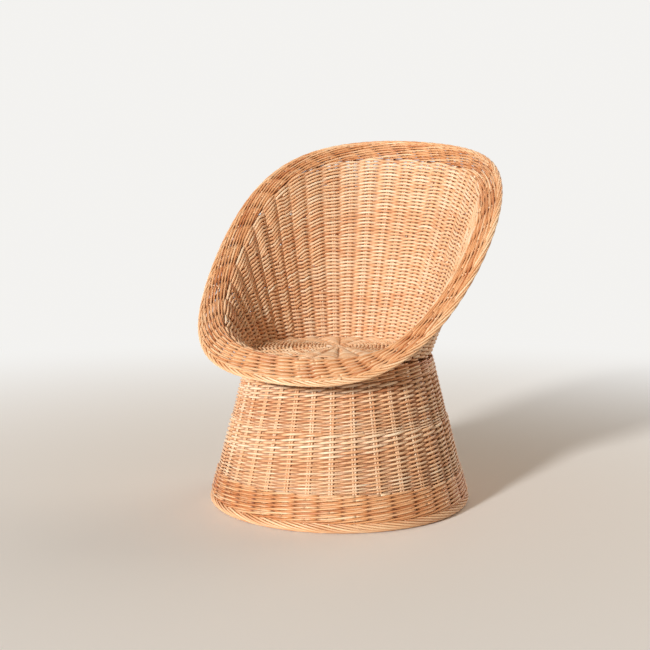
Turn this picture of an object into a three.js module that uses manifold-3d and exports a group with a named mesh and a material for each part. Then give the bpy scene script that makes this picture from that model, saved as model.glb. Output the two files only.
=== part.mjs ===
// A willow basket chair: a bowl with a flared lip, leaning back, on a flared woven drum.
// Millimetres, +Z up. The chair faces -Y, and X is its left and right.
//
// Paired stakes stand around the drum and around the bowl. The weave is built as bands that pass
// in front of one pair and behind the next, as the rods of the real weave do, and neighbouring
// bands pass on opposite sides, so that the stakes are locked between them.

import * as THREE from "three";
import { mergeVertices } from "three/addons/utils/BufferGeometryUtils.js";
import Module from "manifold-3d";

// Clearances
const gap = 0.3; // between pieces that touch
const bandGap = 2; // between one band of weave and the next on the same stakes
const overrun = 1; // of a cut past the face it opens

// The rounded edges of a pair of stakes, each a third of its thickness wide
const stakeRoundShare = 2 / 3;

// Drum: the middle of its wall is a cone
const drumStakes = 34;
const drumFootRadius = 285.4; // of the wall's middle, carried down to the floor
const drumNeckRadius = 199; // of the wall's middle at the neck
const drumHeight = 320; // floor to the top of the neck
const drumStakeWide = 14; // a pair of rods side by side
const drumStakeThick = 7;
const drumWeaveThick = 4.5;
const drumFacetSpare = 1.2; // the flat that passes a pair is this much wider at each end

// Foot border, a roll with a flat foot
const borderInset = 9.4; // its middle from the wall's middle at the floor
const borderHigh = 22;
const borderThick = 26;
const borderFlatShare = 0.55; // of half its thickness
const borderShoulderShare = 0.22; // of its height
const socketDeep = 12; // the stakes' ends in the border

// The drum's bands: a wale at the foot and one at the neck, and what is between them shared out
const footWaleHigh = 51;
const footWaleThick = 6.5;
const footWaleBulge = 5; // the heavy rods stand proud of the cone
const neckWaleHigh = 32;
const neckWaleThick = 5.5;
const drumSplitShares = [0.27, 0.544, 0.777];

// Seat, the round woven bottom of the bowl
const seatSticks = 22;
const stickWide = 6.5;
const stickThick = 6;
const seatWeaveThick = 4;
const seatFacetSpare = 0.75;
const slathRadius = 42; // the cross of sticks in the middle
const slathThick = 13;
const slathClear = 14; // from the cross to the first row
const seatSplitShares = [0.335, 0.685];

// Bowl: wall from the seat to the lip, then the lip to the rim
const bowlStakes = 44;
const bowlStartShare = 0.33; // of the way from one pair to the next: the first pair, from the front
const bowlStakeWide = 13;
const bowlStakeThick = 6.5;
const bowlWeaveThick = 4;
const bowlFacetSpare = 0.7;
const lipWaleThick = 5;
const tailRadius = 122; // the inner ends of the stakes, under the seat
const wallFootInset = 1; // the wall begins this much inside of the neck's middle
const wallFootRise = 8; // the stakes climb this much as they turn out of the seat into the wall
const wallTopRadius = 285; // of the wall's middle, where the lip begins
const wallFrontReach = 21; // in front, the wall's top is this much outside of its foot
const wallFrontRise = 11; // of the wall's top over the neck, in front and at the rear
const wallRearRise = 489;
const wallSplitShares = [0.34, 0.67];
const lipWide = 41; // from the wall's top to the roll's middle, at the sides
const lipForward = 12; // the lip is this much wider in front and narrower at the rear
const lipFrontDrop = 38;
const lipRearRise = 40;
const lipSplitShare = 0.38;

// Rim border, the roll along the lip
const rollWide = 19;
const rollThick = 17;
const rollClear = 4.4; // between the roll and the last row of the lip
const rollSides = 8;
const rollStepsEach = 2; // for each pair of stakes

// The lip isn't quite flat or round: waves that go round it two, three and four times
const plainWave = { across: 5, height: -18 };
const threeWave = { height: 19 };
const fourWave = { height: 5 };
// Made by hand, it is a little uneven from left to right
const unevenTwo = { across: -7, height: 0 };
const unevenThree = { across: -8, height: -7 };

// Colours
const honey = 0xc98d52;
const pale = 0xd9a66c;
const brown = 0xb67a45;

const wasm = await Module();
wasm.setup();

const chair = new THREE.Group();

function addPiece(name, geometry, colour) {
  const material = new THREE.MeshStandardMaterial({ color: colour, roughness: 0.55, metalness: 0 });
  const mesh = new THREE.Mesh(geometry, material);
  mesh.name = name;
  chair.add(mesh);
}

// Solids from manifold-3d and back

function toSolid(geometry) {
  const bare = geometry.clone();
  bare.deleteAttribute("normal");
  bare.deleteAttribute("uv");
  const merged = mergeVertices(bare);
  const mesh = new wasm.Mesh({
    numProp: 3,
    vertProperties: new Float32Array(merged.attributes.position.array),
    triVerts: new Uint32Array(merged.index.array),
  });
  return new wasm.Manifold(mesh);
}

function toGeometry(solid) {
  const mesh = solid.getMesh();
  const geometry = new THREE.BufferGeometry();
  geometry.setAttribute("position", new THREE.BufferAttribute(new Float32Array(mesh.vertProperties), 3));
  geometry.setIndex(new THREE.BufferAttribute(new Uint32Array(mesh.triVerts), 1));
  return geometry;
}

// Points and faces gathered into one closed geometry

class Skin {
  constructor() {
    this.points = [];
    this.faces = [];
  }

  addRing(points) {
    const first = this.points.length / 3;
    points.forEach((p) => this.points.push(p.x, p.y, p.z));
    return { first, count: points.length };
  }

  // Quads from one ring to the next, both closed, facing out where ring b follows ring a upwards
  join(a, b) {
    for (let i = 0; i < a.count; i += 1) {
      const j = (i + 1) % a.count;
      this.faces.push(a.first + i, a.first + j, b.first + j);
      this.faces.push(a.first + i, b.first + j, b.first + i);
    }
  }

  // A fan that closes a convex ring
  close(ring, turned) {
    for (let i = 1; i < ring.count - 1; i += 1) {
      const pair = turned ? [i + 1, i] : [i, i + 1];
      this.faces.push(ring.first, ring.first + pair[0], ring.first + pair[1]);
    }
  }

  geometry() {
    const geometry = new THREE.BufferGeometry();
    geometry.setAttribute("position", new THREE.BufferAttribute(new Float32Array(this.points), 3));
    geometry.setIndex(this.faces);
    return geometry;
  }
}

// A station is a place on a stake: its middle, the way out of the wall and the way along the wall.
// out is lengthened at a bend, so that offset surfaces stay parallel on both sides of it.

function stationsAlong(path, along) {
  return path.map((p, i) => {
    const before = i > 0 ? p.clone().sub(path[i - 1]).normalize() : null;
    const after = i < path.length - 1 ? path[i + 1].clone().sub(p).normalize() : null;
    const ways = [before, after].filter(Boolean);
    const normals = ways.map((way) => along.clone().cross(way).normalize());
    const out = normals.reduce((sum, n) => sum.add(n), new THREE.Vector3()).normalize();
    out.divideScalar(out.dot(normals[0]));
    return { middle: p, out, along };
  });
}

function between(a, b, share) {
  return {
    middle: a.middle.clone().lerp(b.middle, share),
    out: a.out.clone().lerp(b.out, share),
    along: a.along,
  };
}

function offset(station, along, out) {
  return station.middle.clone().addScaledVector(station.along, along).addScaledVector(station.out, out);
}

// A band of weave between two stations of every stake. side is +1 where it passes outside the
// even pairs. swell lifts the middle of its outer passes, and short ends it that much early.

function bandOf(lower, upper, { facet, thick, reach, side, swell = 0, short = 0 }) {
  const skin = new Skin();
  const levels = swell ? [0, 0.5, 1] : [0, 1];
  const rings = levels.map((level) => {
    const outer = [];
    const inner = [];
    lower.forEach((low, k) => {
      const high = upper[k];
      const run = low.middle.distanceTo(high.middle);
      const start = bandGap / 2 / run;
      const end = 1 - (bandGap / 2 + short) / run;
      const station = between(low, high, start + (end - start) * level);
      const pass = k % 2 ? -side : side;
      const lift = pass > 0 ? swell * 4 * level * (1 - level) : 0;
      const middle = pass * reach + lift;
      [-facet, facet].forEach((step) => {
        outer.push(offset(station, step, middle + thick / 2));
        inner.push(offset(station, step, middle - thick / 2));
      });
    });
    return { outer: skin.addRing(outer), inner: skin.addRing(inner) };
  });
  rings.slice(1).forEach((ring, i) => {
    skin.join(rings[i].outer, ring.outer);
    skin.join(ring.inner, rings[i].inner);
  });
  skin.join(rings[0].inner, rings[0].outer);
  skin.join(rings[rings.length - 1].outer, rings[rings.length - 1].inner);
  return skin.geometry();
}

// A pair of rods side by side, as one flat-sided bar through its stations

function stakeOf(stations, wide, thick) {
  const flat = (wide - thick * stakeRoundShare) / 2;
  const section = [
    [-wide / 2, 0],
    [-flat, -thick / 2],
    [flat, -thick / 2],
    [wide / 2, 0],
    [flat, thick / 2],
    [-flat, thick / 2],
  ];
  const skin = new Skin();
  const rings = stations.map((s) => skin.addRing(section.map(([x, y]) => offset(s, x, y))));
  rings.slice(1).forEach((ring, i) => skin.join(ring, rings[i]));
  skin.close(rings[0], false);
  skin.close(rings[rings.length - 1], true);
  return skin.geometry();
}

function ringAlong(angle) {
  return new THREE.Vector3(Math.cos(angle), Math.sin(angle), 0);
}

function outward(angle, radius, height, back = 0) {
  return new THREE.Vector3(Math.sin(angle) * radius, -Math.cos(angle) * radius + back, height);
}

// Drum

const drumSlope = (drumFootRadius - drumNeckRadius) / drumHeight;
const drumTurn = (2 * Math.PI) / drumStakes;
const drumFacet = drumStakeWide / 2 + drumFacetSpare;

function drumStations(height) {
  return Array.from({ length: drumStakes }, (_, k) => {
    const angle = k * drumTurn;
    return {
      middle: outward(angle, drumFootRadius - drumSlope * height, height),
      out: outward(angle, 1, 0),
      along: ringAlong(angle),
    };
  });
}

function addDrumBand(name, low, high, side, more = {}) {
  const thick = more.thick ?? drumWeaveThick;
  const reach = drumStakeThick / 2 + gap + thick / 2;
  const shape = { facet: drumFacet, thick, reach, side, swell: more.swell ?? 0 };
  addPiece(name, bandOf(drumStations(low), drumStations(high), shape), more.colour ?? honey);
}

const bandSlack = (bandGap - gap) / 2; // taken back where a band's end touches another piece
const footWaleTop = borderHigh + footWaleHigh;
const neckWaleFoot = drumHeight - neckWaleHigh;
addDrumBand("foot_wale", borderHigh - bandSlack, footWaleTop, 1, {
  thick: footWaleThick,
  swell: footWaleBulge,
  colour: brown,
});
const drumLevels = [0, ...drumSplitShares, 1].map((share) => {
  return footWaleTop + share * (neckWaleFoot - footWaleTop);
});
drumLevels.slice(1).forEach((high, i) => {
  addDrumBand(`drum_weave_${i + 1}`, drumLevels[i], high, i % 2 ? 1 : -1);
});
addDrumBand("neck_wale", neckWaleFoot, drumHeight + bandSlack, -1, {
  thick: neckWaleThick,
  colour: brown,
});

const drumStakeEnds = [borderHigh - socketDeep + gap, drumHeight - gap / 2];
const drumStakeLow = drumStations(drumStakeEnds[0]);
const drumStakeHigh = drumStations(drumStakeEnds[1]);
for (let k = 0; k < drumStakes; k += 1) {
  const name = `drum_stake_${String(k + 1).padStart(2, "0")}`;
  addPiece(name, stakeOf([drumStakeLow[k], drumStakeHigh[k]], drumStakeWide, drumStakeThick), pale);
}

// Foot border, with a socket for each pair of stakes

function borderProfile() {
  const borderRadius = drumFootRadius - borderInset;
  const half = borderThick / 2;
  const flat = half * borderFlatShare;
  const low = borderHigh * borderShoulderShare;
  const high = borderHigh - gap / 2;
  return [
    [borderRadius - flat, 0],
    [borderRadius + flat, 0],
    [borderRadius + half, low],
    [borderRadius + half, high - low],
    [borderRadius + flat, high],
    [borderRadius - flat, high],
    [borderRadius - half, high - low],
    [borderRadius - half, low],
    [borderRadius - flat, 0],
  ].map(([x, y]) => new THREE.Vector2(x, y));
}

function footBorder() {
  const roll = new THREE.LatheGeometry(borderProfile(), 2 * drumStakes);
  roll.rotateX(Math.PI / 2);
  let solid = toSolid(roll);
  const low = drumStations(borderHigh - socketDeep);
  const high = drumStations(borderHigh + overrun);
  for (let k = 0; k < drumStakes; k += 1) {
    const cutter = stakeOf([low[k], high[k]], drumStakeWide + 2 * gap, drumStakeThick + 2 * gap);
    solid = solid.subtract(toSolid(cutter));
  }
  return toGeometry(solid);
}

addPiece("foot_border", footBorder(), brown);

// Seat: crossed sticks, with rings of weave over and under them, lying on the tails of the bowl's
// stakes, which lie on the neck

const tailHeight = drumHeight + gap / 2 + bowlStakeThick / 2;
const seatReach = stickThick / 2 + gap + seatWeaveThick / 2;
const seatMiddle = tailHeight + bowlStakeThick / 2 + gap + seatReach + seatWeaveThick / 2;
const wallFootRadius = drumNeckRadius - wallFootInset;
const turnRadius = wallFootRadius - wallFootRise;
const seatRadius = turnRadius - bowlStakeThick / 2 - gap;
const seatTurn = (2 * Math.PI) / seatSticks;
const seatFacet = stickWide / 2 + seatFacetSpare;
const bowlTurn = (2 * Math.PI) / bowlStakes;
const seatStart = (bowlStartShare - 0.5) * bowlTurn; // so that a pair stands beside each stick

function seatStations(radius) {
  return Array.from({ length: seatSticks }, (_, k) => {
    const angle = seatStart + k * seatTurn;
    return {
      middle: outward(angle, radius, seatMiddle),
      out: new THREE.Vector3(0, 0, -1),
      along: ringAlong(angle),
    };
  });
}

const seatWeaveStart = slathRadius + slathClear;
const seatWeaveEnd = seatRadius + bandGap / 2;
const seatLevels = [0, ...seatSplitShares, 1].map((share) => {
  return seatWeaveStart + share * (seatWeaveEnd - seatWeaveStart);
});
seatLevels.slice(1).forEach((radius, i) => {
  const shape = { facet: seatFacet, thick: seatWeaveThick, reach: seatReach, side: i % 2 ? -1 : 1 };
  addPiece(`seat_weave_${i + 1}`, bandOf(seatStations(seatLevels[i]), seatStations(radius), shape), honey);
});

function crossedSticks() {
  const star = new THREE.Shape();
  const tip = Math.atan(stickWide / 2 / seatRadius);
  const root = Math.atan(stickWide / 2 / slathRadius);
  for (let k = 0; k < seatSticks; k += 1) {
    const angle = seatStart + k * seatTurn;
    const corners = [
      [angle - root, slathRadius],
      [angle - tip, seatRadius],
      [angle + tip, seatRadius],
      [angle + root, slathRadius],
    ];
    corners.forEach(([a, r], i) => {
      const x = Math.sin(a) * r;
      const y = -Math.cos(a) * r;
      if (k === 0 && i === 0) star.moveTo(x, y);
      else star.lineTo(x, y);
    });
  }
  star.closePath();
  const sticks = new THREE.ExtrudeGeometry(star, { depth: stickThick, bevelEnabled: false });
  sticks.translate(0, 0, seatMiddle - stickThick / 2);
  const cross = new THREE.CylinderGeometry(slathRadius, slathRadius, slathThick, 2 * seatSticks);
  cross.rotateX(Math.PI / 2);
  cross.translate(0, 0, seatMiddle);
  return toGeometry(toSolid(sticks).add(toSolid(cross)));
}

addPiece("seat_sticks", crossedSticks(), pale);

// Bowl: each pair of stakes runs out under the seat, turns up the wall and out along the lip

const bowlFacet = bowlStakeWide / 2 + bowlFacetSpare;

// The wall's top and the rim, as rounds that lean back: each sits back from the drum's axis
const wallEdge = {
  radius: wallTopRadius,
  back: wallTopRadius - wallFootRadius - wallFrontReach,
  front: drumHeight + wallFrontRise,
  rear: drumHeight + wallRearRise,
};
const rimEdge = {
  radius: wallEdge.radius + lipWide,
  back: wallEdge.back - lipForward,
  front: wallEdge.front - lipFrontDrop,
  rear: wallEdge.rear + lipRearRise,
};

// The stakes stand in upright planes through the drum's axis, so they are further apart at the rear.
// turn is the angle at the edge's own centre of the place that such a plane cuts.
function edgePoint(angle, { radius, back, front, rear }) {
  const reach = Math.sqrt(radius ** 2 - (back * Math.sin(angle)) ** 2) - back * Math.cos(angle);
  const turn = Math.atan2(reach * Math.sin(angle), reach * Math.cos(angle) + back);
  const across = plainWave.across * Math.cos(2 * turn)
    + unevenTwo.across * Math.sin(2 * turn)
    + unevenThree.across * Math.sin(3 * turn);
  const height = (front + rear) / 2
    - ((rear - front) / 2) * Math.cos(turn)
    + plainWave.height * Math.cos(2 * turn)
    + threeWave.height * Math.cos(3 * turn)
    + fourWave.height * Math.cos(4 * turn)
    + unevenThree.height * Math.sin(3 * turn);
  return outward(turn, radius + across, height, back);
}

const bowlRows = Array.from({ length: bowlStakes }, (_, k) => {
  const angle = (k + bowlStartShare) * bowlTurn;
  const path = [
    outward(angle, tailRadius, tailHeight),
    outward(angle, turnRadius, tailHeight),
    outward(angle, wallFootRadius, tailHeight + wallFootRise),
    edgePoint(angle, wallEdge),
    edgePoint(angle, rimEdge),
  ];
  const [tail, turn, foot, top, rim] = stationsAlong(path, ringAlong(angle));
  return { tail, turn, foot, top, rim };
});

function bowlLevel(from, to, share) {
  return bowlRows.map((row) => between(row[from], row[to], share));
}

function addBowlBand(name, low, high, side, { thick, colour, short = 0 }) {
  const reach = bowlStakeThick / 2 + gap + thick / 2;
  const shape = { facet: bowlFacet, thick, reach, side, short };
  addPiece(name, bandOf(low, high, shape), colour);
}

const wallLevels = [0, ...wallSplitShares, 1].map((share) => bowlLevel("foot", "top", share));
wallLevels.slice(1).forEach((high, i) => {
  const looks = { thick: bowlWeaveThick, colour: honey };
  addBowlBand(`bowl_weave_${i + 1}`, wallLevels[i], high, i % 2 ? -1 : 1, looks);
});
const lipLevels = [0, lipSplitShare, 1].map((share) => bowlLevel("top", "rim", share));
addBowlBand("lip_wale_inner", lipLevels[0], lipLevels[1], -1, { thick: lipWaleThick, colour: brown });
addBowlBand("lip_wale_outer", lipLevels[1], lipLevels[2], 1, {
  thick: lipWaleThick,
  colour: brown,
  short: rollWide / 2 + rollClear,
});

// The stakes' ends are laid down as the rim border, so they and the roll are one piece
function rimRoll() {
  const skin = new Skin();
  const rollSteps = bowlStakes * rollStepsEach;
  const rings = Array.from({ length: rollSteps }, (_, i) => {
    const angle = (i / rollStepsEach + bowlStartShare) * bowlTurn;
    const middle = edgePoint(angle, rimEdge);
    const way = middle.clone().sub(edgePoint(angle, wallEdge)).normalize();
    const up = way.clone().cross(ringAlong(angle)).normalize();
    const section = Array.from({ length: rollSides }, (_unused, j) => {
      const turn = ((j + 0.5) * 2 * Math.PI) / rollSides;
      return middle
        .clone()
        .addScaledVector(way, (Math.cos(turn) * rollWide) / 2)
        .addScaledVector(up, (Math.sin(turn) * rollThick) / 2);
    });
    return skin.addRing(section);
  });
  rings.forEach((ring, i) => skin.join(rings[(i + 1) % rollSteps], ring));
  return toSolid(skin.geometry());
}

function stakesWithRim() {
  const stakes = bowlRows.map((row) => {
    return toSolid(stakeOf(Object.values(row), bowlStakeWide, bowlStakeThick));
  });
  return toGeometry(stakes.reduce((sum, stake) => sum.add(stake), rimRoll()));
}

addPiece("bowl_stakes_and_rim", stakesWithRim(), pale);

// The origin is on the floor, under the middle of the chair's box
const box = new THREE.Box3().setFromObject(chair);
const centre = box.getCenter(new THREE.Vector3());
chair.position.set(-centre.x, -centre.y, -box.min.z);

export default chair;
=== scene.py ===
"""A willow bucket chair: a deep woven bowl with a wide flared lip, on a flared woven drum. In metres."""

import collections
import math

import bmesh
import bpy
import numpy as np
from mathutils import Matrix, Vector


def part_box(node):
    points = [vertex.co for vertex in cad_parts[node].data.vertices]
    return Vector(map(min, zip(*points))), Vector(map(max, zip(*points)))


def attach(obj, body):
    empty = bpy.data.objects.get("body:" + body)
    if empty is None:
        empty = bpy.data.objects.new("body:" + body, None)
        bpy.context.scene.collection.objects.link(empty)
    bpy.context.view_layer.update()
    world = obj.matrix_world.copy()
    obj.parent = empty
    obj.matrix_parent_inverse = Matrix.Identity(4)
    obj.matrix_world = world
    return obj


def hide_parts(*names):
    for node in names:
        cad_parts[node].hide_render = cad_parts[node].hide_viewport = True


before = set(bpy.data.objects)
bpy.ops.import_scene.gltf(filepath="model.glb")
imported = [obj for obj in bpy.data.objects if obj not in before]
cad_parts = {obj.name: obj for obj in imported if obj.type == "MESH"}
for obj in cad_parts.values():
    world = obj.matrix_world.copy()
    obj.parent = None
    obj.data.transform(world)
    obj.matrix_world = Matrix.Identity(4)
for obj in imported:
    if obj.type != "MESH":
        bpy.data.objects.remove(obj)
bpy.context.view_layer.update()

low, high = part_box("foot_border")
MIDDLE = (low + high) / 2  # the drum's axis stands here
chance = np.random.default_rng(7)

DRUM_PAIRS, BOWL_PAIRS, SEAT_STICKS = 34, 44, 22
BOWL_START = 0.33  # of a pair's turn, from the front to the first pair of the bowl

DRUM_RADIUS, DRUM_TAPER = 0.2854, 0.27  # at the floor, and how much narrower for each unit of height
FOOT_LEVEL, FOOT_WALE_LEVEL, BAND_LEVEL, NECK_LEVEL, NECK_TOP_LEVEL = 0.020, 0.0725, 0.190, 0.2885, 0.3195

SEAT_LEVEL, SEAT_RADIUS, CROSS_RADIUS = 0.3343, 0.191, 0.036
WALL_FOOT = (0.198, 0.3314)  # radius and height
WALL_EDGE = (0.285, 0.066, 0.331, 0.809)  # radius, set back, height in front and at the back
RIM_EDGE = (0.326, 0.054, 0.293, 0.849)
LIP_BEND = 0.022  # the stakes bend out into the lip over twice this length

STAKE_THICK, STICK_RADIUS, SHADE_ROD_RADIUS = 0.0050, 0.0031, 0.0026
DRUM_PAIR_SPREAD, BOWL_PAIR_SPREAD = 1.02, 1.06  # the two stakes of a pair stand a little apart
STEPS = 6  # points of a rod from one pair to the next

# How far anything stands out of the weave's middle. The finish is rubbed pale there, as wear and as a painted
# highlight, and painted shade darkens it where it lies deep.
STAKE_REACH, ROD_REACH, FINE_ROD_REACH, STICK_REACH, CORE_REACH = 0.012, 0.0092, 0.0088, 0.008, 0.01


# The camera stands where the photograph was taken from.

camera = bpy.data.objects.new("camera", bpy.data.cameras.new("camera"))
bpy.context.scene.collection.objects.link(camera)
bpy.context.scene.camera = camera
camera.data.lens = 52.775
camera.data.sensor_width = 36
camera.location = (MIDDLE.x + 0.857, MIDDLE.y - 1.925, 0.5833)
camera.rotation_euler = (math.radians(84.669), 0, math.radians(24.878))


# The chair's surfaces. An angle is measured from the chair's front, round its drum's axis.

def outward(angle, radius, height, back=0.0):
    """A point at an angle from the front, a radius from the axis."""
    angle, radius, height = np.broadcast_arrays(angle, radius, height)
    across = MIDDLE.x + np.sin(angle) * radius
    return np.stack([across, MIDDLE.y - np.cos(angle) * radius + back, height], -1)


def way_out(angle):
    """The level way out from the axis at an angle, one unit long."""
    return outward(angle, 1, 0) - outward(angle, 0, 0)


def edge_point(angle, radius, back, front, rear):
    """A point of a slanting edge of the bowl, high at the back and low in front, uneven as on hand work."""
    reach = np.sqrt(radius ** 2 - (back * np.sin(angle)) ** 2) - back * np.cos(angle)
    turn = np.arctan2(reach * np.sin(angle), reach * np.cos(angle) + back)
    across = 0.005 * np.cos(2 * turn) - 0.007 * np.sin(2 * turn) - 0.008 * np.sin(3 * turn)
    height = (front + rear) / 2 - (rear - front) / 2 * np.cos(turn)
    height = height - 0.018 * np.cos(2 * turn) + 0.019 * np.cos(3 * turn) + 0.005 * np.cos(4 * turn)
    return outward(turn, radius + across, height - 0.007 * np.sin(3 * turn), back)


def drum_wall(angle, height):
    return outward(angle, DRUM_RADIUS - DRUM_TAPER * height, height)


def seat_face(angle, radius):
    return outward(angle, radius, SEAT_LEVEL)


def bowl_runs(angle):
    """Where the bowl's stakes start, the ways they run up the wall and out along the lip, and how far."""
    foot = outward(angle, *WALL_FOOT)
    edge = edge_point(angle, *WALL_EDGE)
    rim = edge_point(angle, *RIM_EDGE)
    wall = np.linalg.norm(edge - foot, axis=-1, keepdims=True)
    lip = np.linalg.norm(rim - edge, axis=-1, keepdims=True)
    return foot, (edge - foot) / wall, (rim - edge) / lip, wall, lip


def bowl_wall(angle, climb):
    """A point a length up the bowl's stakes from the seat's edge, round the bend and out along the lip."""
    foot, up, out, wall, _ = bowl_runs(angle)
    climb = np.asarray(climb, float)[..., None]
    ease = np.minimum(LIP_BEND, wall * 0.6)
    share = np.clip((climb - wall + ease) / (2 * ease), 0, 1)
    edge = foot + up * wall
    bend = edge - up * ease * (1 - share) ** 2 + out * ease * share ** 2
    return bend + up * np.minimum(climb - wall + ease, 0) + out * np.maximum(climb - wall - ease, 0)


def facing(surface, angle, climb, side):
    """Points of a surface, and the way that its seen side faces there."""
    point = surface(angle, climb)
    along = surface(angle + 1e-4, climb) - surface(angle - 1e-4, climb)
    rise = surface(angle, climb + 1e-5) - surface(angle, climb - 1e-5)
    face = side * np.cross(along, rise)
    return point, face / np.linalg.norm(face, axis=-1, keepdims=True)


def drum_angle(pair):
    """Pairs of stakes aren't quite evenly spaced."""
    angle = np.asarray(pair, float) * 2 * math.pi / DRUM_PAIRS
    return angle - math.radians(1.1) * np.sin(3 * angle - math.radians(9))


def bowl_angle(pair):
    """The same for the bowl. Pair 0 is the first past the front."""
    angle = (np.asarray(pair, float) + BOWL_START) * 2 * math.pi / BOWL_PAIRS
    return angle + math.radians(0.35) * np.sin(5 * angle) + math.radians(0.25) * np.sin(11 * angle + 1)


def seat_angle(stick):
    """Each stick's end lies between two pairs of the bowl."""
    return (BOWL_START - 0.5) * 2 * math.pi / BOWL_PAIRS + np.asarray(stick, float) * 2 * math.pi / SEAT_STICKS


# Rods are curves with a thickness at each point, gathered for one piece and made a mesh together.

SIDES = 8  # of a rod's round section
GRAIN_SHIFT = 91  # so that rods of different tone don't share their grain
SKIN_SHARE, SKIN_MARGIN = 0.975, 0.04  # of the map's height for the rods' sides, and of a strip's on each side
END_LEVEL, END_HEIGHT, END_WIDTH = 0.99, 0.006, 0.4  # where a rod's end lies in the map, and its half measures

Rod = collections.namedtuple("Rod", "points radius out face tone reach")


class Bundle:
    """Rods of one piece, before they are made a mesh."""

    def __init__(self):
        self.rods = []

    def lay(self, points, radius, out, face, tone, reach):
        """Adds a rod. Out is how far its middle stands out of the weave's middle, reach the most that anything
        does there, and face the way that the weave faces."""
        n = len(points)
        radius, out, face = np.broadcast_to(radius, n), np.broadcast_to(out, n), np.broadcast_to(face, (n, 3))
        self.rods.append(Rod(points, radius, out, face, tone, reach))


def weave_piece(name, bundle, nodes, finish):
    """Makes one named piece of a bundle of rods, which stands for some of the solids."""
    mesh = round_rods(name, bundle.rods)
    mark_rods(mesh, bundle.rods)
    lay_out_skin(mesh, np.array([len(rod.points) for rod in bundle.rods]) - 1)
    close_ends(mesh)
    mesh.materials.clear()
    mesh.materials.append(finish)
    piece = bpy.data.objects.new(name, mesh)
    bpy.context.scene.collection.objects.link(piece)
    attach(piece, "root")
    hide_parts(*nodes)


def round_rods(name, rods):
    """A mesh of curves with round sections, open at their ends."""
    curve = bpy.data.curves.new(name, "CURVE")
    curve.dimensions = "3D"
    curve.bevel_depth = 1
    curve.bevel_resolution = SIDES // 2 - 2
    for rod in rods:
        spline = curve.splines.new("POLY")
        spline.points.add(len(rod.points) - 1)
        places = np.column_stack([rod.points, np.ones(len(rod.points))])
        spline.points.foreach_set("co", places.ravel())
        spline.points.foreach_set("radius", np.ascontiguousarray(rod.radius, float))
    holder = bpy.data.objects.new(name, curve)
    bpy.context.scene.collection.objects.link(holder)
    mesh = bpy.data.meshes.new_from_object(holder)
    bpy.data.objects.remove(holder)
    bpy.data.curves.remove(curve)
    mesh.name = name
    return mesh


def mark_rods(mesh, rods):
    """Stores what the finish reads: proud, how far a place stands out of the weave, tone, its rod's shade from
    0 for brown to 1 for pale, and in_rod, its place along and round the rod."""
    def at_points(values):
        return np.repeat(np.concatenate(values), SIDES, 0)

    place = np.zeros(len(mesh.vertices) * 3)
    mesh.vertices.foreach_get("co", place)
    from_middle = place.reshape(-1, 3) - at_points([rod.points for rod in rods])
    rise = (from_middle * at_points([rod.face for rod in rods])).sum(1)
    counts = np.array([len(rod.points) for rod in rods])
    reach = np.repeat([rod.reach for rod in rods], counts * SIDES)
    tone = np.repeat([rod.tone for rod in rods], counts * SIDES)
    proud = np.abs(at_points([rod.out for rod in rods]) + rise) / reach
    steps = [np.linalg.norm(np.diff(rod.points, axis=0), axis=1) for rod in rods]
    along = at_points([np.r_[0, np.cumsum(step)] for step in steps]) + tone * GRAIN_SHIFT
    radius = at_points([rod.radius for rod in rods])
    turn = np.tile(np.arange(SIDES) * 2 * math.pi / SIDES, counts.sum())
    in_rod = np.column_stack([along, np.cos(turn) * radius, np.sin(turn) * radius])
    for attribute, values in (("proud", proud), ("tone", tone)):
        mesh.attributes.new(attribute, "FLOAT", "POINT").data.foreach_set("value", values)
    mesh.attributes.new("in_rod", "FLOAT_VECTOR", "POINT").data.foreach_set("vector", in_rod.ravel())


def lay_out_skin(mesh, spans):
    """Lays the rods' sides next to each other in strips, all in one map, with room above them for the ends.
    Spans is how many each rod has, from one of its points to the next."""
    skin = mesh.uv_layers[0]
    skin.name = "OFBake"
    at = np.zeros(len(mesh.loops) * 2)
    skin.uv.foreach_get("vector", at)
    at = at.reshape(-1, 2)
    corners = SIDES * 4  # of the faces round a span
    span = np.repeat(np.arange(spans.sum()), corners)
    first = np.repeat(np.cumsum(spans) - spans, spans * corners)
    along = at[:, 0] * np.repeat(spans, spans * corners) - (span - first)
    per_strip = math.ceil(math.sqrt(2 * spans.sum()))
    strips = math.ceil(spans.sum() / per_strip)
    at[:, 0] = (span % per_strip + np.clip(along, 0, 1)) / per_strip
    across = SKIN_MARGIN + (1 - 2 * SKIN_MARGIN) * at[:, 1]
    at[:, 1] = (span // per_strip + across) / strips * SKIN_SHARE
    skin.uv.foreach_set("vector", at.ravel())


def close_ends(mesh):
    """Closes the rods' ends, and lays them side by side at the top of the map."""
    form = bmesh.new()
    form.from_mesh(mesh)
    rims = [edge for edge in form.edges if edge.is_boundary]
    ends = bmesh.ops.holes_fill(form, edges=rims, sides=0)["faces"]
    skin = form.loops.layers.uv["OFBake"]
    for number, end in enumerate(ends):
        for step, loop in enumerate(end.loops):
            turn = step * 2 * math.pi / len(end.loops)
            across = (number + 0.5 + END_WIDTH * math.cos(turn)) / len(ends)
            loop[skin].uv = (across, END_LEVEL + END_HEIGHT * math.sin(turn))
    form.to_mesh(mesh)
    form.free()


def smooth(share):
    """From 0 to 1 with soft ends."""
    share = np.clip(share, 0, 1)
    return share * share * (3 - 2 * share)


def wander(count, step, size):
    """A slow random drift along a rod, a new value about every so many points."""
    knots = chance.normal(0, size, count // step + 3)
    return np.interp(np.arange(count) / step, np.arange(len(knots)), knots)


def tone_near(middle, spread=0.17):
    """Each rod has a tone of its own, from 0 for brown to 1 for pale."""
    return float(np.clip(chance.normal(middle, spread), 0, 1))


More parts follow.
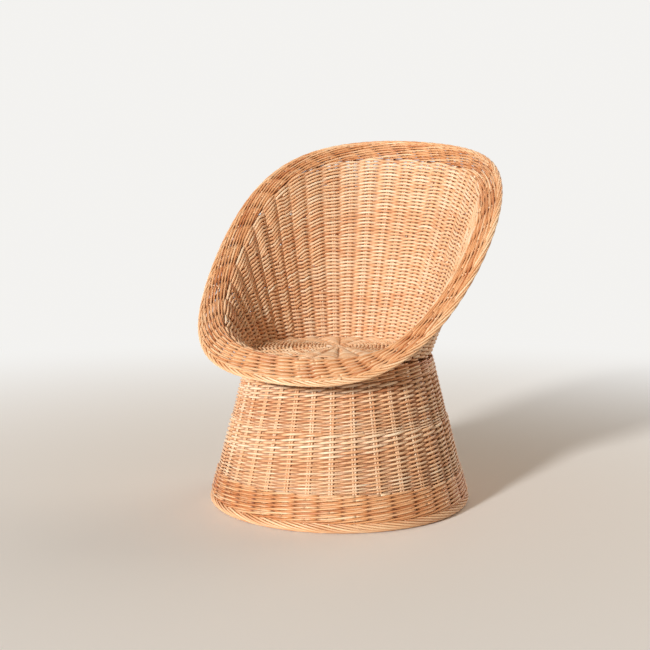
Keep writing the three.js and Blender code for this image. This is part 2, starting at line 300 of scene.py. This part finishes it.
def through(phase, flat=0.16):
    """How a rod goes out round one pair and in behind the next, from 1 to -1: flat over a pair, for that much
    of the way to the next on each side, and straight between them."""
    near = np.round(phase)
    rest = np.clip((0.5 - np.abs(phase - near)) / (0.5 - flat), 0, 1)
    return (1 - 2 * (near % 2)) * rest * (1.2 - 0.2 * rest ** 4)


# Finishes: peeled willow, satin varnished, darkened with painted shade where the rods go in, and worn pale with
# a painted highlight where they stand out.

def new_group(name, inputs, outputs):
    group = bpy.data.node_groups.new(name, "ShaderNodeTree")
    for title, kind, value in inputs:
        socket = group.interface.new_socket(title, in_out="INPUT", socket_type=kind)
        socket.default_value = value
    for title, kind in outputs:
        group.interface.new_socket(title, in_out="OUTPUT", socket_type=kind)
    return group, group.nodes.new("NodeGroupInput"), group.nodes.new("NodeGroupOutput")


def add(tree, kind, links=(), **settings):
    """Adds a node, sets what is named, and links or sets the sockets that are given by name or number."""
    node = tree.nodes.new(kind)
    for name, value in settings.items():
        setattr(node, name, value)
    for socket, source in links:
        if isinstance(source, bpy.types.NodeSocket):
            tree.links.new(source, node.inputs[socket])
        else:
            node.inputs[socket].default_value = source
    return node


def math_node(tree, operation, a, b, clamp=False):
    return add(tree, "ShaderNodeMath", [(0, a), (1, b)], operation=operation, use_clamp=clamp).outputs[0]


def spread_out(tree, value, low, high, to_low=0.0, to_high=1.0):
    """Maps a range to another, with soft ends."""
    return add(tree, "ShaderNodeMapRange", [(0, value), (1, low), (2, high), (3, to_low), (4, to_high)],
               interpolation_type="SMOOTHSTEP").outputs[0]


def mix(tree, share, a, b):
    """The sockets of a colour mix are its first, seventh and eighth."""
    return add(tree, "ShaderNodeMix", [(0, share), (6, a), (7, b)], data_type="RGBA").outputs[2]


def grain_group():
    """Fine streaks along each rod, slow patches, and a few dark flecks where buds were."""
    outputs = [(title, "NodeSocketFloat") for title in ("Streaks", "Patches", "Flecks")]
    group, _, out = new_group("willow_grain", [], outputs)
    rod = add(group, "ShaderNodeAttribute", attribute_name="in_rod").outputs["Vector"]

    def stretched_noise(along, across, detail):
        place = add(group, "ShaderNodeMapping", [("Vector", rod), ("Scale", (along, across, across))])
        sockets = [("Vector", place.outputs[0]), ("Scale", 1.0), ("Detail", detail)]
        return add(group, "ShaderNodeTexNoise", sockets).outputs[0]

    group.links.new(stretched_noise(70, 900, 3.0), out.inputs["Streaks"])
    group.links.new(stretched_noise(9, 120, 2.0), out.inputs["Patches"])
    flecks = spread_out(group, stretched_noise(55, 260, 1.0), 0.70, 0.78)
    group.links.new(flecks, out.inputs["Flecks"])
    return group


def wear_and_shade_group():
    """Where the weave stands proud it is rubbed pale, as wear and as a painted highlight, and where it goes in
    it is darkened as painted shade.
    """
    group, given, out = new_group("willow_wear_and_shade", [("Depth", "NodeSocketFloat", 0.45)],
                                  [("RubbedAndHighlight", "NodeSocketFloat"), ("PaintedShade", "NodeSocketFloat")])
    proud = add(group, "ShaderNodeAttribute", attribute_name="proud").outputs["Fac"]
    place = add(group, "ShaderNodeTexCoord").outputs["Object"]
    uneven = add(group, "ShaderNodeTexNoise", [("Vector", place), ("Scale", 9.0), ("Detail", 3.0)]).outputs[0]
    shifted = math_node(group, "ADD", proud, spread_out(group, uneven, 0.3, 0.7, -0.08, 0.08))
    group.links.new(spread_out(group, shifted, 0.72, 1.0), out.inputs["RubbedAndHighlight"])
    group.links.new(spread_out(group, shifted, given.outputs["Depth"], 0.05), out.inputs["PaintedShade"])
    return group


GRAIN, WEAR_AND_SHADE = grain_group(), wear_and_shade_group()
STREAK_SHARE, FLECK_SHARE = 0.28, 0.55  # how much of the darker colour they take
STREAK_HEIGHT = 0.0004


def willow(name, brown, golden, pale, fleck_and_shade_colour, rubbed_and_highlight_share, painted_shade_share, painted_shade_depth):
    """Brown, golden and pale rods side by side. The dark colour marks the buds' flecks and is painted shade
    where the weave goes in; the depth is how far out of the weave that painted shade goes.
    """
    finish = bpy.data.materials.new(name)
    finish.use_nodes = True
    tree = finish.node_tree
    shader = tree.nodes["Principled BSDF"]
    grain = add(tree, "ShaderNodeGroup", node_tree=GRAIN)
    wear_and_shade = add(tree, "ShaderNodeGroup", node_tree=WEAR_AND_SHADE)
    wear_and_shade.inputs["Depth"].default_value = painted_shade_depth
    tone = add(tree, "ShaderNodeAttribute", attribute_name="tone").outputs["Fac"]
    patches = spread_out(tree, grain.outputs["Patches"], 0.25, 0.75, -0.25, 0.25)
    mixed = math_node(tree, "ADD", tone, patches, clamp=True)
    ramp = add(tree, "ShaderNodeValToRGB", [(0, mixed)])
    ramp.color_ramp.elements[0].color = (*brown, 1)
    ramp.color_ramp.elements[1].color = (*pale, 1)
    ramp.color_ramp.elements.new(0.5).color = (*golden, 1)
    streaks = spread_out(tree, grain.outputs["Streaks"], 0.3, 0.7)
    colour = ramp.outputs[0]
    # Pale on what stands out is wear and a painted highlight; the dark colour on what goes in is painted shade.
    layers = ((streaks, STREAK_SHARE, brown), (wear_and_shade.outputs["RubbedAndHighlight"], rubbed_and_highlight_share, pale),
              (grain.outputs["Flecks"], FLECK_SHARE, fleck_and_shade_colour),
              (wear_and_shade.outputs["PaintedShade"], painted_shade_share, fleck_and_shade_colour))
    for mask, share, shade in layers:
        colour = mix(tree, math_node(tree, "MULTIPLY", mask, share), colour, (*shade, 1))
    tree.links.new(colour, shader.inputs["Base Color"])
    rough = spread_out(tree, grain.outputs["Streaks"], 0.3, 0.7, 0.34, 0.48)
    rough = math_node(tree, "ADD", rough, math_node(tree, "MULTIPLY", wear_and_shade.outputs["PaintedShade"], 0.4))
    tree.links.new(rough, shader.inputs["Roughness"])
    ridges = [("Strength", 0.35), ("Distance", STREAK_HEIGHT), ("Height", grain.outputs["Streaks"])]
    tree.links.new(add(tree, "ShaderNodeBump", ridges).outputs[0], shader.inputs["Normal"])
    shader.inputs["Specular IOR Level"].default_value = 0.35
    shader.inputs["Coat Weight"].default_value = 0.15
    shader.inputs["Coat Roughness"].default_value = 0.25
    return finish


# Each finish's dark colour where the weave goes in is painted shade, strongest on the waling; its pale rubbing
# is wear and a painted highlight.
WEAVE = willow("honey_willow", brown=(0.63, 0.25, 0.10), golden=(0.85, 0.535, 0.30), pale=(0.95, 0.80, 0.59),
               fleck_and_shade_colour=(0.30, 0.075, 0.022), rubbed_and_highlight_share=0.65, painted_shade_share=0.5, painted_shade_depth=0.45)
WALE = willow("brown_willow", brown=(0.52, 0.18, 0.06), golden=(0.77, 0.40, 0.18), pale=(0.94, 0.70, 0.45),
              fleck_and_shade_colour=(0.17, 0.038, 0.011), rubbed_and_highlight_share=0.5, painted_shade_share=0.95, painted_shade_depth=0.74)
STAKE = willow("pale_willow", brown=(0.62, 0.26, 0.11), golden=(0.88, 0.57, 0.33), pale=(0.96, 0.81, 0.61),
               fleck_and_shade_colour=(0.40, 0.14, 0.05), rubbed_and_highlight_share=0.6, painted_shade_share=0.15, painted_shade_depth=0.45)


# The drum: pairs of stakes, with heavy waling at foot and neck and two bands of finer weave between.

DRUM_STAKE_ENDS = (0.008, 0.320)  # heights
DRUM_STAKE_POINTS = 40
DRUM_WEAVE_FILL, DRUM_WALE_FILL, LIP_WALE_FILL = 1.16, 1.2, 1.18  # how thick a rod is, of its row
WALE_FALL = 0.88  # how far a waling rod climbs and falls, of half a row

# Rods drift up and down and stakes sideways. They and a rod's thickness have a new value every so many points.
ROD_DRIFT, FINE_ROD_DRIFT, SEAT_DRIFT, STAKE_DRIFT = 0.00025, 0.00015, 0.0002, 0.0003
ROD_DRIFT_POINTS, FINE_ROD_DRIFT_POINTS, STAKE_DRIFT_POINTS, THICKNESS_POINTS = 9, 10, 6, 20

# Of these tones, the low one is for the dark rods that stand as painted shade beside the bowl's pairs.
STAKE_TONE, WEAVE_TONE, SEAT_TONE, STICK_TONE, SHADE_ROD_TONE, CORE_TONE = 0.72, 0.55, 0.5, 0.6, 0.2, 0.3


def drum_stakes():
    bundle = Bundle()
    heights = np.linspace(*DRUM_STAKE_ENDS, DRUM_STAKE_POINTS)
    for pair in range(DRUM_PAIRS):
        point, face = facing(drum_wall, np.full(len(heights), float(drum_angle(pair))), heights, 1)
        beside = np.cross(np.gradient(point, axis=0), face)
        beside /= np.linalg.norm(beside, axis=1, keepdims=True)
        for hand in (-1, 1):
            drift = wander(len(heights), STAKE_DRIFT_POINTS, STAKE_DRIFT)[:, None]
            stake = point + beside * (hand * STAKE_THICK / 2 * DRUM_PAIR_SPREAD + drift)
            bundle.lay(stake, STAKE_THICK / 2, 0, face, tone_near(STAKE_TONE), STAKE_REACH)
    weave_piece("drum_stakes", bundle, [f"drum_stake_{n + 1:02d}" for n in range(DRUM_PAIRS)], STAKE)


def drum_weave(name, nodes, bottom, top, rows, thin):
    """A band in which a rod starts behind each pair and climbs a row at each pair, so that it goes out at the
    same height on all. Thin is how thin a row is at the bottom, of the mean."""
    bundle = Bundle()
    level = np.arange(-3, rows * STEPS + 4) / STEPS
    share = np.clip(level / rows, 0, 1)
    span = top - bottom
    pitch = span / rows * (thin + 2 * (1 - thin) * share)
    for start in range(DRUM_PAIRS):
        height = bottom + span * (thin * share + (1 - thin) * share ** 2)
        height = height + (level - share * rows) * pitch + wander(len(level), ROD_DRIFT_POINTS, ROD_DRIFT)
        radius = pitch * DRUM_WEAVE_FILL / 2 * (1 + wander(len(level), THICKNESS_POINTS, 0.02))
        out = through(level, 0.12) * (STAKE_THICK / 2 + radius * 0.8)
        point, face = facing(drum_wall, drum_angle(start + level), height, 1)
        bundle.lay(point + face * out[:, None], radius, out, face, tone_near(WEAVE_TONE, 0.13), ROD_REACH)
    weave_piece(name, bundle, nodes, WEAVE)


def wale(name, nodes, surface, angle_of, pairs, side, way, bottom, top, rounds, fill, tone, flat=0.24, lift=1.2,
         lean=0.0):
    """Three rods at a time: each goes in front of two pairs and behind the next. A rod comes out over the other
    two and goes in under them. One spiral of them goes three times round for each round of waling.

    Bottom and top are functions of the angle, and way is the way round that the rods go. Flat is how far a rod
    lies flat on each side of a pair, lift how much further out it stands where it comes out than where it goes
    in, and lean how far a round starts past the one below it, in turns of a pair."""
    bundle = Bundle()
    loops = math.gcd(3, pairs)
    for this in range(rounds):
        for loop in range(loops):
            pair = np.arange(3 * pairs // loops * STEPS + 1) / STEPS
            phase = pair % 3
            phase = np.where(phase > 2.5, phase - 3, phase)
            depth = np.where(phase < 0, through(phase, flat),
                             np.where(phase > 1, through(phase - 1, flat), 1.0))
            fall = np.where(phase < 1.5, np.cos(math.pi / 2 * (phase + 0.5)), -np.cos(math.pi * (phase - 1.5)))
            angle = angle_of(way * (pair + loop + (7 + lean) * this))
            pitch = (top(angle) - bottom(angle)) / (rounds * 2)
            climb = bottom(angle) + pitch * (2 * this + 1 + fall * WALE_FALL)
            climb = climb + wander(len(pair), ROD_DRIFT_POINTS, ROD_DRIFT)
            radius = pitch * fill / 2 * (1 + wander(len(pair), THICKNESS_POINTS, 0.03))
            out = depth * (STAKE_THICK / 2 + radius * (1 + lift * np.clip(0.5 - phase, -0.5, 0.5)))
            point, face = facing(surface, angle, climb, side)
            point = point + face * out[:, None]
            for part in rods_of_wale(len(pair)):
                slim = np.linspace(1.05, 0.9, part.stop - part.start)
                bundle.lay(point[part], radius[part] * slim, out[part], face[part], tone_near(tone), ROD_REACH)
    weave_piece(name, bundle, nodes, WALE)


def rods_of_wale(count):
    """Cuts a run of points into rods of nine to eighteen pairs, each slimmer towards its end."""
    at = 0
    while at < count - 1:
        end = min(at + STEPS * 3 * int(chance.integers(3, 7)), count - 1)
        if count - 1 - end < STEPS * 3:
            end = count - 1
        yield slice(at, end + 1)
        at = end


def drum_wale(name, nodes, bottom, top, rounds, tone):
    wale(name, nodes, drum_wall, drum_angle, DRUM_PAIRS, 1, -1, lambda angle: bottom, lambda angle: top, rounds,
         DRUM_WALE_FILL, tone)


# Borders: the stakes' own ends, laid down one after another over the next few pairs and rolled round the edge.

def rolled_border(name, nodes, pairs, angle_of, roll_at, wide, high, thick, spans, start, turn, tone):
    """Roll_at gives the roll's middle, its outward way and its upward way at an angle. A rod goes round the
    roll's section from start by turn, in degrees, while it goes on by so many pairs, its spans."""
    bundle = Bundle()
    count = int(spans * STEPS)
    share = np.linspace(0, 1, count + 1)
    around = math.radians(start) + math.radians(turn) * share
    sink = 1 - 0.35 * smooth((share - 0.86) / 0.14) - 0.25 * smooth((0.1 - share) / 0.1)  # both ends go in
    for rod in range(pairs * 2):
        middle, out, up = roll_at(angle_of(rod / 2 + np.arange(count + 1) / STEPS))
        radius = thick / 2 * (1.06 - 0.24 * share) * (1 + wander(count + 1, 8, 0.02))
        across = np.cos(around)[:, None] * out * ((wide / 2 - radius) * sink)[:, None]
        rise = np.sin(around)[:, None] * up * ((high / 2 - radius) * sink)[:, None]
        far = np.linalg.norm(across + rise, axis=1)
        bundle.lay(middle + across + rise, radius, far, (across + rise) / far[:, None], tone_near(tone),
                   max(wide, high) / 2)
    middle, _, up = roll_at(angle_of(np.arange(pairs * STEPS + 1) / STEPS))
    core = min(wide, high) / 2 - thick * 0.8  # what the rods are rolled round
    bundle.lay(middle, core, 0, up, CORE_TONE, CORE_REACH)
    weave_piece(name, bundle, nodes, WALE)


FOOT_ROLL = (0.276, 0.0112)  # radius and height of the foot border's middle


def foot_roll(angle):
    out = way_out(angle)
    return outward(angle, *FOOT_ROLL), out, np.broadcast_to((0.0, 0.0, 1.0), out.shape)


def rim_roll(angle):
    _, _, out, wall, lip = bowl_runs(angle)
    middle, face = facing(bowl_wall, angle, (wall + lip)[..., 0], -1)
    return middle, out, face


# The bowl. Lengths up its wall are measured from the seat's edge.

TAIL_ENDS, TAIL_LEVEL = (0.122, 0.186), 0.3234  # the stakes' tails under the seat
TURN_CORNER = (0.1965, 0.3236)  # radius and height of the corner round which they turn up
TURN_END = 0.006
STAKE_SPAN, STAKE_END_GAP = 0.011, 0.001  # from one of its points to the next, and short of the rim
# The next two set the dark rods pushed in beside each pair as painted shade in the pits; they also keep light
# from showing through the weave.
SHADE_ROD_STEP = 0.0024  # from a stake's side to its liner's middle
SHADE_ROD_END_GAP = 0.02  # below the wall's edge
BOWL_PITCH, BOWL_FILL = 0.0044, 1.42
BOWL_WEAVE_START, BOWL_WEAVE_GAP = -0.0075, 0.003  # where the first row starts, and the last ends under the lip
LIP_WALE_START_GAP, LIP_WALE_GAP = 0.002, 0.0005  # below the wall's edge, and short of the rim


def bowl_stakes():
    """Pairs of stakes that turn up from under the seat, and a thin dark rod pushed in on each side of a pair as
    painted shade in the pits there.
    """
    stakes, shade_rods = Bundle(), Bundle()
    for pair in range(BOWL_PAIRS):
        angle = float(bowl_angle(pair))
        _, _, _, wall, lip = bowl_runs(angle)
        tail = outward(angle, np.linspace(*TAIL_ENDS, 5), TAIL_LEVEL)
        turn = np.linspace(0, 1, 7)[1:-1, None]
        foot, corner = bowl_wall(angle, TURN_END), outward(angle, *TURN_CORNER)
        bend = tail[-1] * (1 - turn) ** 2 + corner * 2 * turn * (1 - turn) + foot * turn ** 2
        whole = float(wall[0] + lip[0])
        climb = np.linspace(TURN_END, whole - STAKE_END_GAP, max(8, int(whole / STAKE_SPAN)))
        path = np.concatenate([tail, bend, bowl_wall(np.full(len(climb), angle), climb)])
        beside = way_out(angle + math.pi / 2)
        face = np.cross(beside, np.gradient(path, axis=0))
        face /= np.linalg.norm(face, axis=1, keepdims=True)
        last = len(tail) + len(bend) + int(np.searchsorted(climb, wall[0] - SHADE_ROD_END_GAP))
        shade_span = slice(len(tail) + 2, last)
        for hand in (-1, 1):
            drift = wander(len(path), STAKE_DRIFT_POINTS, STAKE_DRIFT)[:, None]
            stake = path + beside * (hand * STAKE_THICK / 2 * BOWL_PAIR_SPREAD + drift)
            stakes.lay(stake, STAKE_THICK / 2 * 1.05, 0, face, tone_near(STAKE_TONE), STAKE_REACH)
            shade_rod = (path + beside * (hand * (STAKE_THICK * BOWL_PAIR_SPREAD + SHADE_ROD_STEP)))[shade_span]
            shade_rods.lay(shade_rod, SHADE_ROD_RADIUS, 0, face[shade_span], tone_near(SHADE_ROD_TONE), STAKE_REACH)
    return stakes, shade_rods


def spread_rank(count):
    """Ranks that lie spread out, so that rows dropped one by one towards the front leave the others even."""
    bits = max(1, (count - 1).bit_length())
    turned = [int(format(n, f"0{bits}b")[::-1], 2) for n in range(count)]
    return np.argsort(np.argsort(turned)) / count


def bowl_weave():
    """Plain weaving. Rows are packed in at the back in twos, so that the wall climbs there."""
    pair = np.arange(BOWL_PAIRS * STEPS + 1) / STEPS
    angle = bowl_angle(pair)
    wall = bowl_runs(angle)[3][:, 0]
    twos = round(wall.max() / BOWL_PITCH / 2)
    full = wall / BOWL_PITCH / 2 / twos
    weight = smooth((full[None] - spread_rank(twos)[:, None]) / 0.03 + 0.5)  # 0 where a row has ended, else 1
    weight[0] = 1
    before = np.cumsum(weight, 0) - weight
    local = (wall - BOWL_WEAVE_GAP - BOWL_WEAVE_START) / (2 * weight.sum(0))
    thirds = [Bundle(), Bundle(), Bundle()]
    for two in range(twos):
        third = thirds[min(2, int(3 * (two + 0.5) / twos))]
        for half in (0, 1):
            rows_below = 2 * before[two] + weight[two] * (half + 0.5)
            drift = wander(len(pair), FINE_ROD_DRIFT_POINTS, FINE_ROD_DRIFT)
            climb = BOWL_WEAVE_START + local * rows_below + drift
            radius = local / 2 * weight[two] * BOWL_FILL
            out = through(pair + half, 0.15) * (STAKE_THICK * 0.45 + radius * 0.7)
            point, face = facing(bowl_wall, angle, climb, -1)
            point = point + face * out[:, None]
            for run in runs_of(weight[two] > 0.3):
                if len(run) == len(pair):
                    run = (run + STEPS * int(chance.integers(BOWL_PAIRS))) % (BOWL_PAIRS * STEPS)
                for rod in cut_rods(run, half):
                    slim = np.linspace(1.03, 0.97, len(rod))
                    if chance.random() < 0.5:
                        slim = slim[::-1]
                    third.lay(point[rod], radius[rod] * slim, out[rod], face[rod],
                              tone_near(WEAVE_TONE, 0.11), FINE_ROD_REACH)
    for number, bundle in enumerate(thirds):
        weave_piece(f"bowl_weave_rods_{number + 1}", bundle, [f"bowl_weave_{number + 1}"], WEAVE)


def runs_of(alive):
    """The runs of points where a row is there, as lists of indices. A row that goes all round is one run."""
    points = np.flatnonzero(alive)
    return [run for run in np.split(points, np.flatnonzero(np.diff(points) > 1) + 1) if len(run) > STEPS]


def cut_rods(run, half):
    """Cuts a run of points into rods of nine to fifteen pairs, joined behind a pair."""
    rods, at = [], 0
    while at < len(run) - 1:
        end = at + STEPS * int(chance.integers(9, 16))
        if end < len(run):
            end -= run[end] % STEPS
            if (run[end] // STEPS + half) % 2 == 0:
                end += STEPS
        if end > len(run) - 1 - STEPS * 4:
            end = len(run) - 1
        rods.append(run[at:end + 1])
        at = end
    return rods


def lip_wale():
    """Waling from the bowl's edge out across the lip to the border."""
    def inner(angle):
        return bowl_runs(angle)[3][:, 0] - LIP_WALE_START_GAP

    def outer(angle):
        _, _, _, wall, lip = bowl_runs(angle)
        return (wall + lip)[:, 0] - LIP_WALE_GAP

    wale("lip_wale_rods", ["lip_wale_inner", "lip_wale_outer"], bowl_wall, bowl_angle, BOWL_PAIRS, -1, 1, inner,
         outer, 7, LIP_WALE_FILL, 0.45, flat=0.1, lift=0.9, lean=0.12)


# The seat: sticks crossed in the middle and fanned out, woven round and round.

CROSS = ((6, 0, 11), (5, 6, 17))  # a layer's sticks, and which end the first has on one side and on the other
CROSS_PITCH = 0.0068
CROSS_PLACES = (0.024, 0.008, -0.008, -0.024)  # along a stick in the cross
FAN_RADII = (0.055, 0.085, 0.13, 0.188)  # where it fans out from there
SEAT_ROWS = 36


def seat():
    sticks = Bundle()
    for layer, (count, first, opposite) in enumerate(CROSS):
        way = float(seat_angle(2.5)) + layer * (math.pi / 2)
        ahead, beside = way_out(way), way_out(way + math.pi / 2)
        height = SEAT_LEVEL + (STICK_RADIUS if layer == 0 else -STICK_RADIUS)
        for n in range(count):
            one = float(seat_angle((first + n) % SEAT_STICKS))
            two = float(seat_angle((opposite + count - 1 - n) % SEAT_STICKS))
            centre = np.array([MIDDLE.x, MIDDLE.y, height]) + beside * ((n - (count - 1) / 2) * CROSS_PITCH)
            knots = [seat_face(one, radius) for radius in FAN_RADII[::-1]]
            knots += [centre + ahead * place for place in CROSS_PLACES]
            knots += [seat_face(two, radius) for radius in FAN_RADII]
            path = smooth_path(np.array(knots), 4)
            sticks.lay(path, STICK_RADIUS, 0, (0, 0, 1), tone_near(STICK_TONE), STICK_REACH)
    thirds = [Bundle(), Bundle(), Bundle()]
    stick = np.arange(SEAT_STICKS * STEPS + 1) / STEPS
    radius = (SEAT_RADIUS - CROSS_RADIUS) / SEAT_ROWS / 2
    for row in range(SEAT_ROWS):
        share = (row + 0.5) / SEAT_ROWS
        ring = CROSS_RADIUS + (SEAT_RADIUS - CROSS_RADIUS) * share
        ring = ring + wander(len(stick), FINE_ROD_DRIFT_POINTS, SEAT_DRIFT)
        out = through(stick + row) * (STICK_RADIUS + radius)
        point, face = facing(seat_face, seat_angle(stick), ring, -1)
        third = thirds[min(2, int(share * 3))]
        third.lay(point + face * out[:, None], radius * 1.04, out, face, tone_near(SEAT_TONE), FINE_ROD_REACH)
    weave_piece("seat_stick_rods", sticks, ["seat_sticks"], STAKE)
    for n, bundle in enumerate(thirds):
        weave_piece(f"seat_weave_rods_{n + 1}", bundle, [f"seat_weave_{n + 1}"], WEAVE)


def smooth_path(knots, steps):
    """A smooth path through points."""
    way = np.gradient(knots, axis=0)
    share = np.linspace(0, 1, steps, endpoint=False)[:, None]
    path = []
    for n in range(len(knots) - 1):
        a, b = knots[n], knots[n + 1]
        path.append(a * (1 + 2 * share) * (1 - share) ** 2 + way[n] * share * (1 - share) ** 2
                    + b * share ** 2 * (3 - 2 * share) + way[n + 1] * share ** 2 * (share - 1))
    return np.concatenate(path + [knots[-1:]])


# The chair, from the floor up, and its rim last.

drum_stakes()
drum_wale("foot_wale_rods", ["foot_wale"], FOOT_LEVEL, FOOT_WALE_LEVEL, 7, 0.45)
drum_weave("drum_weave_rods_low", ["drum_weave_1", "drum_weave_2"], FOOT_WALE_LEVEL, BAND_LEVEL, 29, 0.68)
drum_weave("drum_weave_rods_high", ["drum_weave_3", "drum_weave_4"], BAND_LEVEL, NECK_LEVEL, 25, 0.64)
drum_wale("neck_wale_rods", ["neck_wale"], NECK_LEVEL, NECK_TOP_LEVEL, 4, 0.5)
rolled_border("foot_border_rods", ["foot_border"], DRUM_PAIRS, drum_angle, foot_roll,
              wide=0.026, high=0.022, thick=0.0048, spans=5, start=130, turn=-330, tone=0.45)
bowl_weave()
lip_wale()
seat()
stakes, shade_rods = bowl_stakes()
weave_piece("bowl_stake_rods", stakes, ["bowl_stakes_and_rim"], STAKE)
# Dark rods beside each of the bowl's pairs, as painted shade in the pits of the weave.
weave_piece("bowl_painted_shade_rods", shade_rods, ["bowl_stakes_and_rim"], WALE)
rolled_border("rim_border_rods", ["bowl_stakes_and_rim"], BOWL_PAIRS, bowl_angle, rim_roll,
              wide=0.016, high=0.0135, thick=0.0050, spans=2.7, start=200, turn=-300, tone=0.6)


# The floor, the backdrop's colour and the lamps.

BACKDROP = (0.90, 0.89, 0.87, 1)


def seen_rays(tree):
    """One for what the camera sees, straight or by gloss or glass, and zero for light."""
    path = tree.nodes.new("ShaderNodeLightPath").outputs
    seen = math_node(tree, "MAXIMUM", path["Is Camera Ray"], path["Is Glossy Ray"])
    return math_node(tree, "MAXIMUM", seen, path["Is Transmission Ray"])


def pale_floor():
    """A floor that fades into the backdrop's colour away from the chair."""
    form = bmesh.new()
    bmesh.ops.create_grid(form, x_segments=1, y_segments=1, size=40)
    mesh = bpy.data.meshes.new("floor")
    form.to_mesh(mesh)
    form.free()
    floor = bpy.data.objects.new("floor", mesh)
    bpy.context.scene.collection.objects.link(floor)
    paint = bpy.data.materials.new("pale_floor")
    paint.use_nodes = True
    tree = paint.node_tree
    shader = tree.nodes["Principled BSDF"]
    shader.inputs["Base Color"].default_value = (0.92, 0.91, 0.89, 1)
    shader.inputs["Roughness"].default_value = 0.7
    far = add(tree, "ShaderNodeEmission", [("Color", BACKDROP)])
    place = add(tree, "ShaderNodeTexCoord").outputs["Object"]
    distance = add(tree, "ShaderNodeVectorMath", [(0, place)], operation="LENGTH").outputs["Value"]
    fade = math_node(tree, "MULTIPLY", spread_out(tree, distance, 0.3, 3.2), seen_rays(tree))
    blend = add(tree, "ShaderNodeMixShader", [(0, fade), (1, shader.outputs[0]), (2, far.outputs[0])])
    tree.links.new(blend.outputs[0], tree.nodes["Material Output"].inputs["Surface"])
    mesh.materials.append(paint)


def room():
    """A warm low light from all round, behind which the backdrop's colour is seen."""
    world = bpy.data.worlds.new("room")
    bpy.context.scene.world = world
    world.use_nodes = True
    tree = world.node_tree
    light = tree.nodes["Background"]
    light.inputs["Color"].default_value = (1.0, 0.79, 0.58, 1)
    light.inputs["Strength"].default_value = 0.25
    seen = add(tree, "ShaderNodeBackground", [("Color", BACKDROP)])
    either = [(0, seen_rays(tree)), (1, light.outputs[0]), (2, seen.outputs[0])]
    choose = add(tree, "ShaderNodeMixShader", either)
    tree.links.new(choose.outputs[0], tree.nodes["World Output"].inputs["Surface"])


def sun(name, place, strength, soft, colour):
    """A lamp that shines from a place towards the middle. Soft is how wide it looks, in degrees."""
    light = bpy.data.lights.new(name, "SUN")
    light.energy = strength
    light.angle = math.radians(soft)
    light.color = colour
    holder = bpy.data.objects.new(name, light)
    bpy.context.scene.collection.objects.link(holder)
    holder.location = place
    holder.rotation_euler = (-Vector(place)).to_track_quat("-Z", "Y").to_euler()


pale_floor()
room()
sun("key_lamp", (-0.62, -2.6, 0.84), 3.5, 7, (1.0, 0.98, 0.95))
sun("back_lamp", (1.2, 2.2, 1.3), 0.65, 40, (1.0, 0.86, 0.72))

bpy.context.scene.view_settings.view_transform = "Standard"
